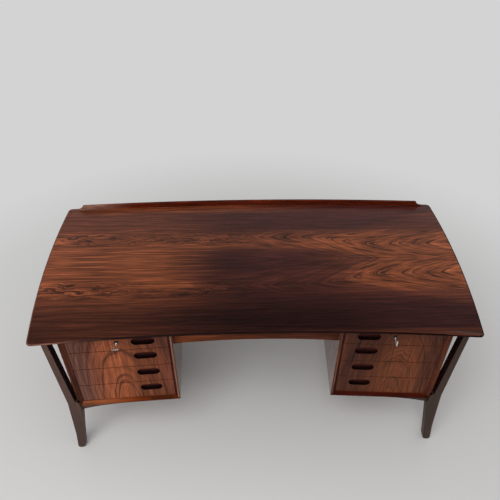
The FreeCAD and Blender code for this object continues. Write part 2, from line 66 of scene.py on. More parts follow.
SIDES = ("left", "right")
DRAWERS = (1, 2, 3, 4)
UP = Vector((0, 0, 1))
RIGHT = Vector((1, 0, 0))
BACK = Vector((0, 1, 0))
LEVEL = RIGHT + BACK

# Camera; angles in radians
IMAGE_PIXELS = 500
FOCAL_PIXELS = 474.275
SENSOR_MM = 36.0
CAMERA_PLACE = (-0.06366, -1.66086, 2.08577)
CAMERA_YAW = 0.028974
CAMERA_PITCH = 0.656656
CAMERA_ROLL = 0.002662

# Light and floor; the sky's range is the sine of the elevation
BACKDROP = (0.65, 0.65, 0.65)
OVERHEAD = (0.06, 0.06, 0.06)
AMBIENT = (0.42, 0.42, 0.42)
FLOOR_COLOUR = (0.68, 0.676, 0.667)
SKY_DARKENS = (0.52, 0.69)
FLOOR_REACH = 30.0
FLOOR_FADES = (1.0, 2.8)
LAMPS = (
    dict(name="front_left", place=(-1.2, -3.0, 4.0), target=(-0.1, -0.1, 0.5), size=3.2, power=130.0),
    dict(name="overhead", place=(0.0, -1.0, 4.6), target=(0.0, -1.0, 0.0), size=4.0, power=30.0))

# Mesh work; shares are cosines between a face's normal and a direction
WELD = 1e-5
FLAT_ANGLE = math.radians(0.4)
SHARP_ANGLE = math.radians(25)
BEVEL_STEPS = 2
KEY_STEPS = 3
ROUND_PROFILE = 0.5
NORMAL_WEIGHT = 80
FACE_SHARE = 0.96
SLOT_SHARE = 0.48
LEVEL_SHARE = 0.995
OUT_SHARE = 0.1
ARRIS = 0.003
KEY_SHANK = 0.004

# Widths of the rounded edges
SLAB_EASE = 0.0001
LIPPING_EASE = 0.0012
GALLERY_EASE = 0.0015
BOARD_EASE = 0.001
PANEL_EASE = 0.0008
PARTITION_EASE = 0.0005
BATTEN_EASE = 0.0006
FRONT_EASE = 0.0004
METAL_EASE = 0.0005
PLUG_EASE = 0.0006
KEY_EASE = 0.0012

# Rosewood colours
# INK_AND_SHADE is the near-black of the grain's lines and pores, and also painted shade: the top's dark
# edges, the legs' slots and the bottoms of the pulls' hollows.
INK_AND_SHADE = (0.01, 0.0035, 0.003)
ORANGE = (0.193, 0.0515, 0.0188)
AMBER = (0.115, 0.031, 0.0135)
BROWN = (0.075, 0.021, 0.0115)
DARK = (0.046, 0.0108, 0.0085)
REDDISH = (0.11, 0.027, 0.013)
# DEEP_RED is the wood in painted shade, on the inner sides' bevels and the right pedestal's level edges.
DEEP_RED = (0.04, 0.005, 0.002)
RUSSET = (0.09, 0.012, 0.004)
# PAINTED_HIGHLIGHT is a painted highlight at the gallery's left end.
PAINTED_HIGHLIGHT = (0.26, 0.125, 0.09)
# PAINTED_GLOW and PAINTED_GLOW_DEEP are painted light, the glow of the left pedestal's level edges.
PAINTED_GLOW = (0.23, 0.07, 0.028)
PAINTED_GLOW_DEEP = (0.13, 0.025, 0.005)
HOLLOW = (0.05, 0.011, 0.009)
# PAINTED_SHEEN is a pale grey that stands for painted sheen, on the left pedestal's fronts and the
# lipping's left end.
PAINTED_SHEEN = (0.15, 0.067, 0.05)
GREY_BROWN = (0.072, 0.038, 0.028)
TAUPE = (0.1, 0.052, 0.041)
DARK_BROWN = (0.048, 0.026, 0.018)
# PAINTED_SHEEN_TAN is the wood paled by a painted sheen, on the kneehole sides and the left pedestal's
# arris.
PAINTED_SHEEN_TAN = (0.21, 0.112, 0.08)
TAN = (0.19, 0.078, 0.043)


class Graph:
    """The node tree of a material or a world, written as expressions. A range is a value's two ends and,
    unless they are 0 and 1, what these become."""
    NOISE_MEAN = 0.5
    MIX_COLOURS = (6, 7)
    MIX_RESULT = 2

    def __init__(self, owner):
        owner.use_nodes = True
        self.owner = owner
        self.nodes = owner.node_tree.nodes
        self.links = owner.node_tree.links
        self.nodes.clear()

    def add(self, kind, **settings):
        node = self.nodes.new("ShaderNode" + kind)
        for key, value in settings.items():
            setattr(node, key, value)
        return node

    def feed(self, socket, value):
        """Links a value to a socket, or sets a number or colour on it."""
        if isinstance(value, bpy.types.NodeSocket):
            self.links.new(value, socket)
        elif socket.type == "RGBA":
            socket.default_value = (*value, 1)
        else:
            socket.default_value = value

    def filled(self, node, *values):
        """The node, with its first sockets fed in order."""
        for socket, value in zip(node.inputs, values):
            self.feed(socket, value)
        return node

    def math(self, operation, *values):
        return self.filled(self.add("Math", operation=operation), *values).outputs[0]

    def product(self, first, *others):
        for other in others:
            first = self.math("MULTIPLY", first, other)
        return first

    def greatest(self, first, *others):
        for other in others:
            first = self.math("MAXIMUM", first, other)
        return first

    def scaled(self, value, factor, base):
        """The value times the factor, added to the base."""
        return self.math("MULTIPLY_ADD", value, factor, base)

    def rest(self, share):
        """What a share leaves of one."""
        return self.math("SUBTRACT", 1.0, share)

    def swing(self, noise):
        """Noise about zero."""
        return self.math("SUBTRACT", noise, self.NOISE_MEAN)

    def vector(self, operation, first, second):
        node = self.filled(self.add("VectorMath", operation=operation), first, second)
        return node.outputs["Value" if operation == "DOT_PRODUCT" else "Vector"]

    def combine(self, x, y, z):
        return self.filled(self.add("CombineXYZ"), x, y, z).outputs[0]

    def noise(self, place, detail=2.0):
        node = self.add("TexNoise", noise_dimensions="3D")
        self.feed(node.inputs["Vector"], place)
        node.inputs["Scale"].default_value = 1.0
        node.inputs["Detail"].default_value = detail
        return node.outputs["Fac"]

    def rings(self, ring, rate, shift, detail=1.0):
        """Noise that changes with the ring only, with so many waves to the metre."""
        node = self.add("TexNoise", noise_dimensions="1D")
        self.feed(node.inputs["W"], self.scaled(ring, rate, shift))
        node.inputs["Scale"].default_value = 1.0
        node.inputs["Detail"].default_value = detail
        return node.outputs["Fac"]

    def remap(self, value, low, high, to_low=0.0, to_high=1.0):
        node = self.add("MapRange", interpolation_type="SMOOTHSTEP")
        return self.filled(node, value, low, high, to_low, to_high).outputs[0]

    def window(self, value, rise, fall):
        """Share that rises over one range and falls over another."""
        return self.product(self.remap(value, *rise), self.remap(value, *fall))

    def ramp(self, value, stops):
        node = self.add("ValToRGB")
        elements = node.color_ramp.elements
        while len(elements) < len(stops):
            elements.new(1.0)
        for element, (place, colour) in zip(elements, stops):
            element.position = place
            element.color = (*colour, 1)
        self.feed(node.inputs[0], value)
        return node.outputs[0]

    def mix(self, share, first, second):
        node = self.add("Mix", data_type="RGBA")
        self.feed(node.inputs["Factor"], share)
        for index, colour in zip(self.MIX_COLOURS, (first, second)):
            self.feed(node.inputs[index], colour)
        return node.outputs[self.MIX_RESULT]

    def tint(self, colour, factor):
        """The colour times a number."""
        node = self.add("VectorMath", operation="SCALE")
        self.feed(node.inputs[0], colour)
        self.feed(node.inputs["Scale"], factor)
        return node.outputs["Vector"]

    def bump(self, height, distance):
        node = self.add("Bump")
        self.feed(node.inputs["Height"], height)
        node.inputs["Distance"].default_value = distance
        return node.outputs[0]

    def surface(self, colour, roughness, specular=0.5, metallic=0.0, bump=None):
        """The finished material."""
        shader = self.add("BsdfPrincipled")
        self.feed(shader.inputs["Base Color"], colour)
        self.feed(shader.inputs["Roughness"], roughness)
        shader.inputs["Specular IOR Level"].default_value = specular
        shader.inputs["Metallic"].default_value = metallic
        if bump is not None:
            self.feed(shader.inputs["Normal"], bump)
        self.filled(self.add("OutputMaterial"), shader.outputs[0])
        return self.owner


def new_material(name):
    return Graph(bpy.data.materials.new(name))


# Wood in general. Rates are waves to the metre; a shift sets one noise apart from another.
DRIFTS = dict(along_rate=1.2, across_rate=3.0, shift=3.1)
RIPPLES = dict(along_rate=9.0, across_rate=30.0, shift=7.7)
VEINS = dict(along_rate=3.5, shift=0.0, detail=3.0)
VEIN_RANGE = (0.32, 0.68)
FINE_LINES = dict(along_rate=5.0, shift=9.0)
FINE_RATE = 1.8
FINE_RANGE = (0.27, 0.73)
DASHES = dict(along_rate=8.0, shift=5.0)
DASH_RATE = 2.0
DASH_FROM = 0.5
DASH_BLUR = 0.1
OUTLINE_BEND = 3.0
OUTLINE_BEND_RATE = 0.7
OUTLINE_BEND_SHIFT = 5.0
OUTLINE_BEND_DETAIL = 2.0
OUTLINE_MIDDLE = 0.5
OUTLINE_WIDTH = (0.09, 0.02)
OUTLINE_BREAKS = dict(along_rate=4.0, across_rate=9.0, shift=1.7)
OUTLINE_FADES = (0.36, 0.56)
OUTLINE_FAINT = 0.1
STREAKS = (
    dict(along_rate=2.2, across_rate=110.0, shift=4.3),
    dict(along_rate=9.0, across_rate=210.0, shift=8.9))
STREAK_RANGE = (0.25, 0.75)
STREAK_DEPTH = 0.25
PORES = dict(along_rate=16.0, across_rate=800.0, shift=2.3, detail=1.0)
PORE_INK = (0.6, 0.72, 0.0, 0.4)
PORE_RANGE = (0.4, 0.7)
PORE_ROUGHNESS = 0.14
PORE_DEPTH = -0.0002
CLOUDS = dict(along_rate=1.1, across_rate=4.0, shift=5.9)
CLOUD_SHADE = (0.3, 0.7, 0.86, 1.14)
SATIN = 0.14
MATT = 0.03
SMOOTH = 0.3


class Log:
    """A piece of wood cut from a log that runs along one direction. Its own coordinates are u along the
    grain, v across it and w through the thickness, from a centre on the piece."""

    def __init__(self, name, centre, along, across, seed, mirrored=False):
        g = new_material(name)
        offset = g.vector("SUBTRACT", g.add("TexCoord").outputs["Object"], centre)
        self.g = g
        self.seed = seed
        self.u = g.vector("DOT_PRODUCT", offset, along)
        self.side = g.vector("DOT_PRODUCT", offset, across)
        self.v = g.math("ABSOLUTE", self.side) if mirrored else self.side
        self.w = g.vector("DOT_PRODUCT", offset, along.cross(across))

    def grain(self, along_rate, across_rate, shift, detail=2.0):
        """Noise stretched along the grain."""
        g = self.g
        along = g.scaled(self.u, along_rate, self.seed + shift)
        place = g.combine(along, g.product(self.v, across_rate), g.product(self.w, across_rate))
        return g.noise(place, detail)

    def flow(self, ring, ring_rate, along_rate, shift, detail=2.0):
        """Noise drawn out along the lines of a ring."""
        g = self.g
        across = g.scaled(ring, ring_rate, self.seed + shift)
        place = g.combine(across, g.product(self.u, along_rate), g.product(self.v, along_rate))
        return g.noise(place, detail)

    def uneven(self, ring, drift, ripple):
        """The ring, a little uneven: a slow drift and a short ripple, as so many metres each."""
        for amount, rates in ((drift, DRIFTS), (ripple, RIPPLES)):
            ring = self.g.scaled(self.g.swing(self.grain(**rates)), amount, ring)
        return ring

    def ring(self, aside, below, drift, ripple):
        """Distance from the heart of the log, a little uneven."""
        g = self.g
        squares = g.math("ADD", g.product(aside, aside), g.product(below, below))
        return self.uneven(g.math("SQRT", squares), drift, ripple)

    def figure(self, colour, ring, rate, veins, ink, dash_from=DASH_FROM):
        """Veins, fine lines and ink dashes that follow the ring, with so many veins to the metre."""
        g = self.g
        dim = g.rest(veins)
        bright = g.math("ADD", 1.0, veins)
        colour = g.tint(colour, g.remap(self.flow(ring, rate, **VEINS), *VEIN_RANGE, dim, bright))
        fine = self.flow(ring, rate * FINE_RATE, **FINE_LINES)
        colour = g.tint(colour, g.remap(fine, *FINE_RANGE, dim, bright))
        dash = self.flow(ring, rate * DASH_RATE, **DASHES)
        return g.mix(g.remap(dash, dash_from, dash_from + DASH_BLUR, 0.0, ink), colour, INK_AND_SHADE)

    def outline(self, colour, ring, rate, ink):
        """Thin dark lines that follow the ring all the way, here and there fading out."""
        g = self.g
        bend = g.rings(ring, rate * OUTLINE_BEND_RATE, self.seed + OUTLINE_BEND_SHIFT, OUTLINE_BEND_DETAIL)
        phase = g.math("FRACT", g.scaled(ring, rate, g.product(bend, OUTLINE_BEND)))
        off_line = g.math("ABSOLUTE", g.math("SUBTRACT", phase, OUTLINE_MIDDLE))
        line = g.remap(off_line, *OUTLINE_WIDTH)
        strength = g.remap(self.grain(**OUTLINE_BREAKS), *OUTLINE_FADES, OUTLINE_FAINT, ink)
        return g.mix(g.product(line, strength), colour, INK_AND_SHADE)

    def polish(self, colour, streak=STREAK_DEPTH, specular=SATIN, smooth=SMOOTH):
        """Streaks, pores and clouds over the figure, in a satin oiled finish."""
        g = self.g
        for rates in STREAKS:
            colour = g.tint(colour, g.remap(self.grain(**rates), *STREAK_RANGE, 1 - streak, 1 + streak))
        pore = self.grain(**PORES)
        colour = g.mix(g.remap(pore, *PORE_INK), colour, INK_AND_SHADE)
        colour = g.tint(colour, g.remap(self.grain(**CLOUDS), *CLOUD_SHADE))
        roughness = g.remap(pore, *PORE_RANGE, smooth, smooth + PORE_ROUGHNESS)
        return g.surface(colour, roughness, specular, bump=g.bump(pore, PORE_DEPTH))


def middle(node):
    low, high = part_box(node)
    return (low + high) / 2


# The top's figure. Places along it run to the right from the middle, and places across it from the seam to
# either edge. Only the seam itself and the rims are placed from front to back.
TOP_SEED = 2.0
TOP_SPECULAR = 0.18
TOP_SMOOTH = 0.22
SEAM = (0.03, -0.03)
TONGUES = dict(along_rate=0.9, across_rate=34.0, shift=6.1, detail=3.0)
TONGUE_ALONG = 0.35
TONGUE_ACROSS = 0.12
STRAIGHT_RATE = 90.0
STRAIGHT_DRIFT = 0.024
STRAIGHT_RIPPLE = 0.004
PLAIN_VEINS = 0.14
LIT_VEINS = 0.32
PLAIN_INK = 0.06

# A bright streak in the front leaf
BLAZE_WAVER = 0.08
BLAZE_START = (-0.6, -0.5)
BLAZE_STOP = (-0.24, -0.32)
BLAZE_INNER = (0.115, 0.13)
BLAZE_OUTER = (0.185, 0.17)

# Curly bands
CURL_FRONT_SHIFT = -0.025
CURL_INNER = (0.1, 0.14)
CURL_OUTER = (0.24, 0.19)
CURL_STOP = (0.2, -0.1)
CURL_RIPPLE = 0.03
CURL_INK = 0.7
SQUIGGLES = dict(along_rate=16.0, across_rate=26.0, shift=3.3)
SQUIGGLE_REACH = 0.06

# Light on the left, and a band of it through both leaves; the band is fainter in the front leaf, as part
# of that leaf's painted shade.
BAND_INNER = (0.05, 0.1)
BAND_OUTER = (0.26, 0.16)
BAND_BACK = 0.58
BAND_FRONT = 0.1
BAND_REACH = -0.35
LEFT_DIM_AT = (0.1, 0.25, -0.12, 0.05)
LEFT_BRIGHT_AT = (0.1, 0.25, -0.44, -0.6)
LEFT_FRONT_SHIFT = -0.03
LEFT_FALL = (0.14, 0.32, 0.82, 0.38)

# The flame on the right, past the wedge along the seam
WEDGE_BACK = 0.085
WEDGE_FRONT = 0.097
WEDGE_SLOPE_BACK = 4.0
WEDGE_SLOPE_FRONT = 2.3
FLAME_RIM = 0.15
FLAME_RIM_SLOPE = 3.0
FLAME_FRONT_SHIFT = 0.12
FLAME_UNEVEN = 0.08
FLAME_START = (0.17, 0.33)
FLAME_FALL = (0.14, 0.26, 1.0, 0.2)
NOTCH_INNER = (0.06, 0.09, 0.0, 0.13)
NOTCH_OUTER = (0.15, 0.115)
HALO_START = (0.15, 0.45)
HALO_FALL = (0.28, 0.2, 0.0, 0.24)

# Rims and ends that are lighter or darker than the rest; the strip runs along the gallery. The back rim's
# lift and the front leaf's dimming are painted light and shade.
FRONT_RIM = (-0.42, -0.45, 0.0, 0.3)
GALLERY_STRIP = (0.365, 0.4)
GALLERY_FALL = (0.55, -0.45, 0.0, 0.58)
BACK_LIFT = (0.25, 0.36, 1.0, 1.18)
FRONT_DIM = 0.22
FRONT_RIM_DIM = (-0.19, -0.36, 0.0, 0.48)
ENDS_LIFT = (0.72, 0.88, 0.0, 0.27)
ENDS_WITHIN = (0.26, 0.17)
RIGHT_END = (0.25, 0.75)
RIGHT_LIFT_BACK = 0.12
RIGHT_LIFT_FRONT = 1.02

# Arches of the feathered flame
FEATHER_AXIS = (0.2, 0.6, 0.17, 0.105)
FEATHER_POINT = 4e-5
FEATHER_SLOPE = 1.7
FEATHER_BEND = 12.0
FEATHER_DRIFT = 0.02
FEATHER_RIPPLE = 0.03
BLOTCHES = dict(along_rate=5.0, across_rate=11.0, shift=9.3)
BLOTCH_SHADE = (0.32, 0.68, 0.78, 1.22)
ARCH_RATE = 24.0
ARCH_VEINS = 0.26
ARCH_INK = 0.7
ARCH_INK_RANGE = (0.1, 0.5)
ARCH_DASH_FROM = 0.53
ARCHES_START = (-0.15, 0.12)
ARCHES_OUTER = (0.25, 0.19)


class TopVeneer(Log):
    """Two leaves of one flitch opened like a book, mirrored at a seam along the middle of the top: straight
    grain with curly bands on the left, a dark wedge along the seam, and a feathered flame on the right."""

    def __init__(self):
        super().__init__("top_veneer", middle("top_panel"), RIGHT, BACK, TOP_SEED, mirrored=True)
        g = self.g
        self.front = g.remap(self.side, *SEAM)
        self.tongue = g.swing(self.grain(**TONGUES))
        self.ragged_u = g.scaled(self.tongue, TONGUE_ALONG, self.u)
        self.blaze = self.bright_streak()
        self.curl = self.curly_share()
        self.straight = self.straight_lines()
        self.ragged_v = g.scaled(self.tongue, TONGUE_ACROSS, self.straight)

    def by_leaf(self, back, front):
        """One number for the back leaf and another for the front one."""
        return self.g.scaled(self.front, front - back, back)

    def bright_streak(self):
        g = self.g
        along = g.window(self.ragged_u, BLAZE_START, BLAZE_STOP)
        across = g.window(g.scaled(self.tongue, BLAZE_WAVER, self.v), BLAZE_INNER, BLAZE_OUTER)
        return g.product(along, across, self.front)

    def curly_share(self):
        """How curly the straight grain is."""
        g = self.g
        band = g.window(g.scaled(self.front, CURL_FRONT_SHIFT, self.v), CURL_INNER, CURL_OUTER)
        return g.product(band, g.remap(self.u, *CURL_STOP), g.rest(self.blaze))

    def straight_lines(self):
        """The lines of the straight grain, which squiggle where it is curly."""
        g = self.g
        lines = self.uneven(self.v, STRAIGHT_DRIFT, g.scaled(self.curl, CURL_RIPPLE, STRAIGHT_RIPPLE))
        squiggle = g.product(g.swing(self.grain(**SQUIGGLES)), self.curl)
        return g.scaled(squiggle, SQUIGGLE_REACH, lines)

    def feather(self):
        """Arches that point to the left along an axis which nears the seam."""
        g = self.g
        aside = g.math("SUBTRACT", self.v, g.remap(self.u, *FEATHER_AXIS))
        squared = g.product(aside, aside)
        blunt = g.math("SQRT", g.math("ADD", squared, FEATHER_POINT))
        tip = g.scaled(squared, FEATHER_BEND, g.product(blunt, FEATHER_SLOPE))
        return self.uneven(g.math("SUBTRACT", self.u, tip), FEATHER_DRIFT, FEATHER_RIPPLE)

    def left_light(self, band):
        """The bright left, which reaches further to the right in the band."""
        g = self.g
        reach = g.scaled(band, BAND_REACH, self.ragged_u)
        along = g.remap(reach, g.remap(self.v, *LEFT_DIM_AT), g.remap(self.v, *LEFT_BRIGHT_AT))
        across = g.scaled(self.front, LEFT_FRONT_SHIFT, self.ragged_v)
        return g.product(along, g.remap(across, *LEFT_FALL))

    def flame(self):
        """The bright right. Its edge leans away from seam and rim, and the front leaf's has a notch."""
        g = self.g
        into_wedge = g.math("SUBTRACT", self.by_leaf(WEDGE_BACK, WEDGE_FRONT), self.v)
        slope = self.by_leaf(WEDGE_SLOPE_BACK, WEDGE_SLOPE_FRONT)
        wedge = g.product(g.greatest(into_wedge, 0.0), slope)
        past_rim = g.greatest(g.math("SUBTRACT", self.v, FLAME_RIM), 0.0)
        notch = g.window(self.v, NOTCH_INNER, NOTCH_OUTER)
        edge = g.scaled(past_rim, FLAME_RIM_SLOPE, wedge)
        edge = g.scaled(self.front, g.math("ADD", notch, FLAME_FRONT_SHIFT), edge)
        past_edge = self.uneven(g.math("SUBTRACT", self.ragged_u, edge), FLAME_UNEVEN, FLAME_UNEVEN)
        return g.product(g.remap(past_edge, *FLAME_START), g.remap(self.ragged_v, *FLAME_FALL))

    def light(self):
        """How far the ground is bright rather than dark."""
        g = self.g
        band = g.window(self.ragged_v, BAND_INNER, BAND_OUTER)
        band = g.product(band, self.by_leaf(BAND_BACK, BAND_FRONT))
        halo = g.product(g.remap(self.ragged_u, *HALO_START), g.remap(self.ragged_v, *HALO_FALL))
        strip = g.product(g.remap(self.side, *GALLERY_STRIP), g.remap(self.u, *GALLERY_FALL))
        rim = g.remap(self.side, *FRONT_RIM)
        return g.greatest(self.flame(), self.left_light(band), band, halo, rim, strip, self.blaze)

    def shade(self, light):
        """Brightness that the rims and ends add to the ground, or take from it where it is dark. The back
        rim's lift and the front leaf's dimming are painted light and shade, for the way the mirrored leaves
        catch light.
        """
        g = self.g
        unlit = g.rest(light)
        dim = g.scaled(self.front, FRONT_DIM, g.remap(self.side, *FRONT_RIM_DIM))
        shade = g.math("SUBTRACT", g.remap(self.side, *BACK_LIFT), g.product(dim, unlit))
        ends = g.remap(g.math("ABSOLUTE", self.u), *ENDS_LIFT)
        shade = g.scaled(ends, g.remap(self.ragged_v, *ENDS_WITHIN), shade)
        lift = self.by_leaf(RIGHT_LIFT_BACK, RIGHT_LIFT_FRONT)
        right = g.product(g.remap(self.ragged_u, *RIGHT_END), lift)
        return g.product(shade, g.scaled(right, unlit, 1.0))

    def material(self):
        g = self.g
        light = self.light()
        ground = g.tint(g.mix(light, DARK, ORANGE), self.shade(light))
        veins = g.scaled(light, LIT_VEINS, PLAIN_VEINS)
        ink = g.scaled(self.curl, CURL_INK, PLAIN_INK)
        plain = self.figure(ground, self.straight, STRAIGHT_RATE, veins, ink)
        blotched = g.tint(ground, g.remap(self.grain(**BLOTCHES), *BLOTCH_SHADE))
        ink = g.scaled(g.remap(light, *ARCH_INK_RANGE), ARCH_INK, PLAIN_INK)
        arched = self.figure(blotched, self.feather(), ARCH_RATE, ARCH_VEINS, ink, ARCH_DASH_FROM)
        share = g.product(g.remap(self.u, *ARCHES_START), g.remap(self.v, *ARCHES_OUTER))
        return self.polish(g.mix(share, plain, arched), specular=TOP_SPECULAR, smooth=TOP_SMOOTH)


# Drawer fronts. The heart of their log, the pith, is nearer to the face further down. Aisle is the way to
# the kneehole, lift the light at that end, dim the loss beside the pulls. Light is painted light on a
# pedestal's fronts, brighter on the left and darker on the right; dull is a painted grey sheen
# at the far left.
FrontLeaf = namedtuple("FrontLeaf", "seed pith aisle light dim lift ink dull")
FRONT_LEAVES = {
    "left": FrontLeaf(seed=11.0, pith=0.0, aisle=1.0, light=1.7, dim=0.48, lift=0.0, ink=0.55, dull=0.75),
    "right": FrontLeaf(seed=23.0, pith=0.034, aisle=-1.0, light=0.76, dim=0.22, lift=0.3, ink=0.85,
                       dull=0.0)}
FRONT_HALF = 0.01
HEART_DEPTH = 0.03
HEART_SLOPE = 0.3
FRONT_DRIFT = 0.03
FRONT_RIPPLE = 0.014
FRONT_STOPS = ((0.0, ORANGE), (0.4, ORANGE), (0.65, AMBER), (0.85, BROWN), (1.0, AMBER))
FRONT_STOP_RATE = 4.0
DUSK_START = (-0.01, 0.06)
DUSK_STOP = (0.2, 0.1)
AISLE_END = (0.08, 0.16)
PAINTED_SHEEN_END = (-0.06, -0.2)
FRONT_RATE = 40.0
FRONT_VEINS = 0.16
FRONT_INK = 0.08
FRONT_OUTLINE_RATE = 38.0
FRONT_SPECULAR = 0.1


def front_veneer(side, out):
    """Upright leaf that runs through all four fronts of a pedestal, with arches that point up."""
    leaf = FRONT_LEAVES[side]
    face = middle(f"{side}_drawer_4_front") + out * FRONT_HALF
    log = Log(f"{side}_front_veneer", face, UP, UP.cross(out), leaf.seed)
    g = log.g
    below = g.math("ADD", g.scaled(log.u, HEART_SLOPE, HEART_DEPTH), log.w)
    ring = log.ring(g.math("SUBTRACT", log.v, leaf.pith), below, FRONT_DRIFT, FRONT_RIPPLE)
    ground = g.ramp(g.product(ring, FRONT_STOP_RATE), FRONT_STOPS)
    inward = g.product(log.v, leaf.aisle)
    # Painted light: the leaf's light scales the whole face, brighter on the left pedestal than the right.
    shade = g.scaled(g.window(inward, DUSK_START, DUSK_STOP), -leaf.dim * leaf.light, leaf.light)
    ground = g.tint(ground, g.math("ADD", shade, g.remap(inward, *AISLE_END, 0.0, leaf.lift)))
    # Painted sheen: pale grey towards the far left of the left pedestal's fronts.
    ground = g.mix(g.remap(log.v, *PAINTED_SHEEN_END, 0.0, leaf.dull), ground, PAINTED_SHEEN)
    figured = log.figure(ground, ring, FRONT_RATE, FRONT_VEINS, FRONT_INK)
    return log.polish(log.outline(figured, ring, FRONT_OUTLINE_RATE, leaf.ink), specular=FRONT_SPECULAR)


# Straight-grained wood
HEART_ASIDE = 0.9
HEART_BELOW = 0.4
WOOD_DRIFT = 0.03
WOOD_RIPPLE = 0.008
WOOD_RATE = 60.0
WOOD_VEINS = 0.2
WOOD_INK = 0.3
RING_TURNS = 14.0


def straight_wood(name, node, along, across, light, dark, seed, veins=WOOD_VEINS, ink=WOOD_INK,
                  streak=STREAK_DEPTH, specular=SATIN, smooth=SMOOTH, fade=None, edge_fade=None):
    """Straight-grained wood, cut far from the heart of the log. Its two colours take turns from ring to
    ring, or the first fades into the second between two places along the grain or across it."""
    log = Log(name, middle(node), along, across, seed)
    g = log.g
    aside = g.math("SUBTRACT", log.v, HEART_ASIDE)
    ring = log.ring(aside, g.math("ADD", log.w, HEART_BELOW), WOOD_DRIFT, WOOD_RIPPLE)
    if fade:
        share = g.remap(log.u, *fade)
    elif edge_fade:
        share = g.remap(g.math("ABSOLUTE", log.v), *edge_fade)
    else:
        share = g.rings(ring, RING_TURNS, seed)
    figured = log.figure(g.mix(share, light, dark), ring, WOOD_RATE, veins, ink)
    return log.polish(figured, streak, specular, smooth)


# Plain woods and metals; their rates are for the three axes
FINE_DETAIL = 3.0
FINE_NOISE = (0.3, 0.7)
PALE_RATES = (90.0, 3.0, 90.0)
PALE_STOPS = ((0.3, (0.34, 0.21, 0.11)), (0.7, (0.46, 0.3, 0.17)))
PALE_ROUGHNESS = 0.5
PALE_SPECULAR = 0.3
PULL_RATES = (30.0, 30.0, 300.0)
PULL_LIT = (0.36, 0.66)
PULL_SHADE = (0.7, 1.3)
PULL_ROUGHNESS = 0.5
PULL_SPECULAR = 0.05
METAL_RATES = (400.0, 400.0, 400.0)
METAL_WEAR = (-0.08, 0.1)
NICKEL = (0.8, 0.79, 0.76)
NICKEL_ROUGHNESS = 0.4
DARK_METAL = (0.05, 0.045, 0.04)
DARK_METAL_ROUGHNESS = 0.45
BRASS = (0.7, 0.55, 0.28)
BRASS_ROUGHNESS = 0.4


def fine_noise(g, place, rates):
    return g.noise(g.vector("MULTIPLY", place.outputs["Object"], rates), FINE_DETAIL)


def pale_wood():
    """Plain hardwood of the drawer boxes and battens, grained from front to back."""
    g = new_material("drawer_wood")
    streak = fine_noise(g, g.add("TexCoord"), PALE_RATES)
    return g.surface(g.ramp(streak, PALE_STOPS), PALE_ROUGHNESS, PALE_SPECULAR)


def pull_wood():
    """Dark wood of the finger pulls, with painted shade that turns it nearly black where the hollow runs
    down behind the front.
    """
    g = new_material("pull_wood")
    place = g.add("TexCoord")
    height = g.vector("DOT_PRODUCT", place.outputs["Generated"], UP)
    streak = fine_noise(g, place, PULL_RATES)
    # Painted shade: darker towards the bottom of the pull, black where the hollow runs down.
    colour = g.mix(g.remap(height, *PULL_LIT), INK_AND_SHADE, HOLLOW)
    colour = g.tint(colour, g.remap(streak, *FINE_NOISE, *PULL_SHADE))
    return g.surface(colour, PULL_ROUGHNESS, PULL_SPECULAR)


def metal(name, colour, roughness):
    g = new_material(name)
    wear = fine_noise(g, g.add("TexCoord"), METAL_RATES)
    smoothest, roughest = (roughness + change for change in METAL_WEAR)
    return g.surface(colour, g.remap(wear, *FINE_NOISE, smoothest, roughest), metallic=1.0)


def islands(shape):
    """The separate solids of a mesh, each as a list of faces."""
    remaining = set(shape.faces)
    found = []
    while remaining:
        todo = [remaining.pop()]
        island = []
        while todo:
            face = todo.pop()
            island.append(face)
            for edge in face.edges:
                for beside in edge.link_faces:
                    if beside in remaining:
                        remaining.remove(beside)
                        todo.append(beside)
        found.append(island)
    return found


def square_to(*axes):
    """Paints the faces square to each axis with a material of their own, in turn, and the others with the
    last."""
    def paint(shape):
        for face in shape.faces:
            face.material_index = len(axes)
            for index, axis in enumerate(axes):
                if abs(face.normal.dot(axis)) > FACE_SHARE:
                    face.material_index = index
    return paint


def faces_out(rim_face, centre):
    """Whether a face along a rim borders on one that looks away from the centre."""
    away = (rim_face.calc_center_median() - centre) * LEVEL
    for edge in rim_face.edges:
        for face in edge.link_faces:
            if face.normal.z < LEVEL_SHARE and face.normal.dot(away.normalized()) > OUT_SHARE:
                return True
    return False


def edge_strips(shape):
    """Paints upper faces with the first material, apart from a strip along the outer arris. The strip and
    the rest get the second material on solids longer from side to side, and the third on the others. On
    the lipping these paint the strip and the edge faces with painted shade, a dark line along the top's
    edge."""
    upper = [face for face in shape.faces if face.normal.z > LEVEL_SHARE]
    inset = bmesh.ops.inset_region(shape, faces=upper, thickness=ARRIS, use_boundary=True,
                                   use_even_offset=True)
    arris = {face for face in inset["faces"] if faces_out(face, middle("top_panel"))}
    for island in islands(shape):
        places = [corner.co for face in island for corner in face.verts]
        width, depth = (max(p[i] for p in places) - min(p[i] for p in places) for i in (0, 1))
        side_index = 1 if width > depth else 2
        for face in island:
            veneered = face.normal.z > LEVEL_SHARE and face not in arris
            face.material_index = 0 if veneered else side_index


def slot_side(side):
    """Paints the faces of a leg that look across the slot to the case with the second material, a black
    that stands for the shade in the narrow slot: painted shade.
    """
    case = f"{side}_bottom"
    case_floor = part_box(case)[1].z

    def paint(shape):
        for face in shape.faces:
            place = face.calc_center_median()
            inward = (middle(case) - place) * RIGHT
            hidden = place.z > case_floor and face.normal.dot(inward.normalized()) > SLOT_SHARE
            face.material_index = 1 if hidden else 0
    return paint


def shank_shade(side, out):
    """Paints a key's bow with the first material, and its shank and collar with the second, which is dark
    as painted shade beside the keyhole.
    """
    plug = f"{side}_lock_plug"
    start = middle(plug)
    reach = max((corner - start).dot(out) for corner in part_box(plug)) + KEY_SHANK

    def paint(shape):
        for face in shape.faces:
            face.material_index = 0 if (face.calc_center_median() - start).dot(out) > reach else 1
    return paint


